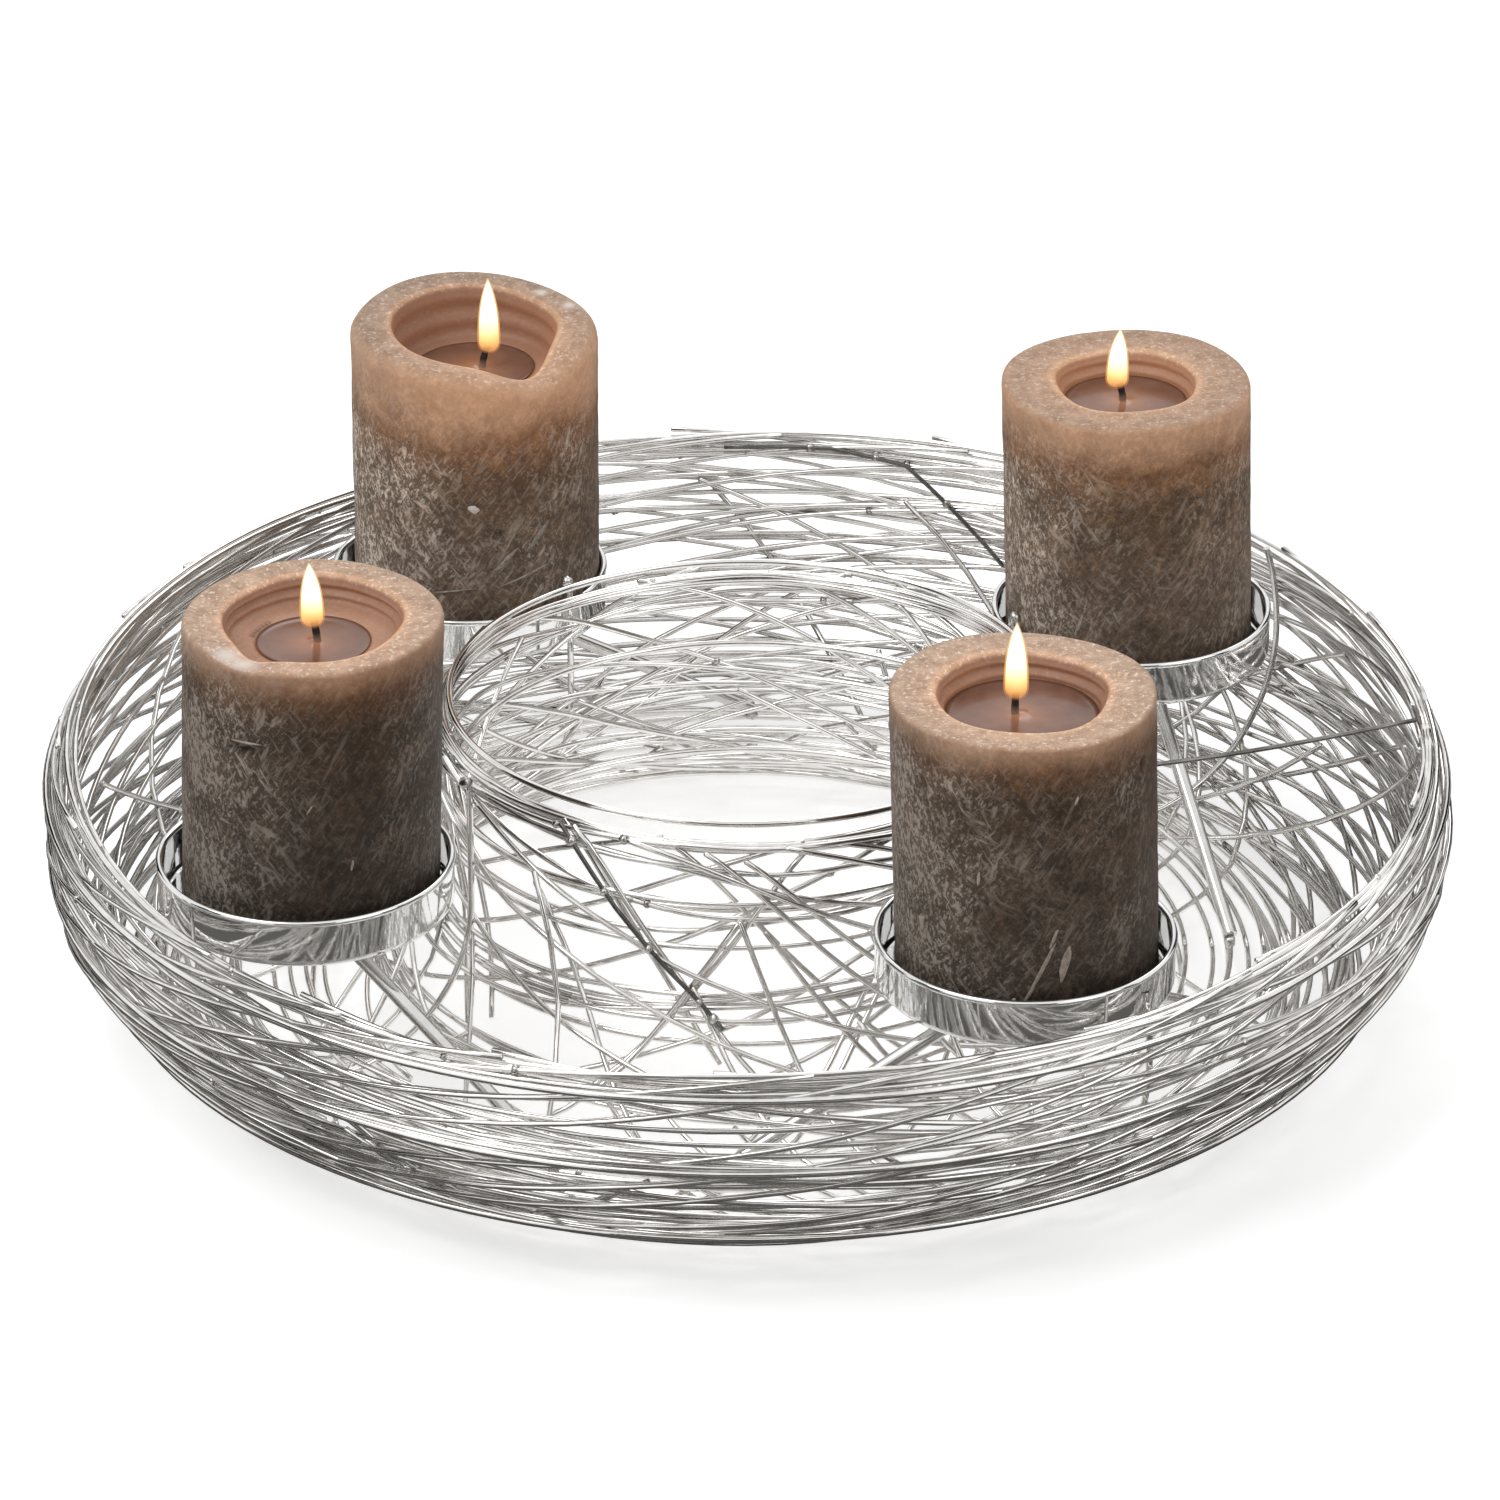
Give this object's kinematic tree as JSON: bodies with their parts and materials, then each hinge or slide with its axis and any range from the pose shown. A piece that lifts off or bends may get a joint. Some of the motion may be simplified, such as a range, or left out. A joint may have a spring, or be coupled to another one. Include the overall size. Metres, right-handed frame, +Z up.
{
  "type": "advent candle holder",
  "caption": "Wreath-shaped advent candle holder: an open trough of bent bright wires carrying round metal cups on splayed legs, with lift-out pillar candles.",
  "frame": {"origin": "centre of the wreath, on the surface that it stands on", "axes": "+Z up, -Y towards the front, +X to the right as seen from the front"},
  "size_m": [0.3885, 0.3886, 0.1484],
  "materials": {
    "wire_metal": "bright nickel plate",
    "cup_metal": "mirror polished",
    "leg_metal": "bright nickel plate",
    "solder": "bright solder",
    "wax": "rustic mottled wax",
    "wick": "burnt cotton"
  },
  "bodies": {
    "holder": {"outer_foot_hoop": "wire_metal", "outer_lower_hoop": "wire_metal", "outer_belly_hoop": "wire_metal", "outer_upper_hoop": "wire_metal", "inner_foot_hoop": "wire_metal", "inner_lower_hoop": "wire_metal", "inner_upper_hoop": "wire_metal", "inner_rim_hoop": "wire_metal", "leg_hoop": "wire_metal", "outer_rising_wires": "wire_metal", "outer_round_wires": "wire_metal", "outer_falling_wires": "wire_metal", "inner_rising_wires": "wire_metal", "inner_round_wires": "wire_metal", "inner_falling_wires": "wire_metal", "floor_round_wires": "wire_metal", "cross_ribs": "wire_metal", "solder_beads": "solder", "cup_back_right": "cup_metal", "cup_back_left": "cup_metal", "cup_front_left": "cup_metal", "cup_front_right": "cup_metal", "legs_back_right": "leg_metal", "legs_back_left": "leg_metal", "legs_front_left": "leg_metal", "legs_front_right": "leg_metal"},
    "candle_back_right": {"candle_back_right": "wax", "wick_back_right": "wick"},
    "candle_back_left": {"candle_back_left": "wax", "wick_back_left": "wick"},
    "candle_front_left": {"candle_front_left": "wax", "wick_front_left": "wick"},
    "candle_front_right": {"candle_front_right": "wax", "wick_front_right": "wick"}
  },
  "joints": [
    {"name": "lift_back_right", "type": "slide", "parent": "holder", "child": "candle_back_right", "axis": [0, 0, 1], "range_m": [0, 0.1]},
    {"name": "lift_back_left", "type": "slide", "parent": "holder", "child": "candle_back_left", "axis": [0, 0, 1], "range_m": [0, 0.1]},
    {"name": "lift_front_left", "type": "slide", "parent": "holder", "child": "candle_front_left", "axis": [0, 0, 1], "range_m": [0, 0.1]},
    {"name": "lift_front_right", "type": "slide", "parent": "holder", "child": "candle_front_right", "axis": [0, 0, 1], "range_m": [0, 0.1]}
  ]
}
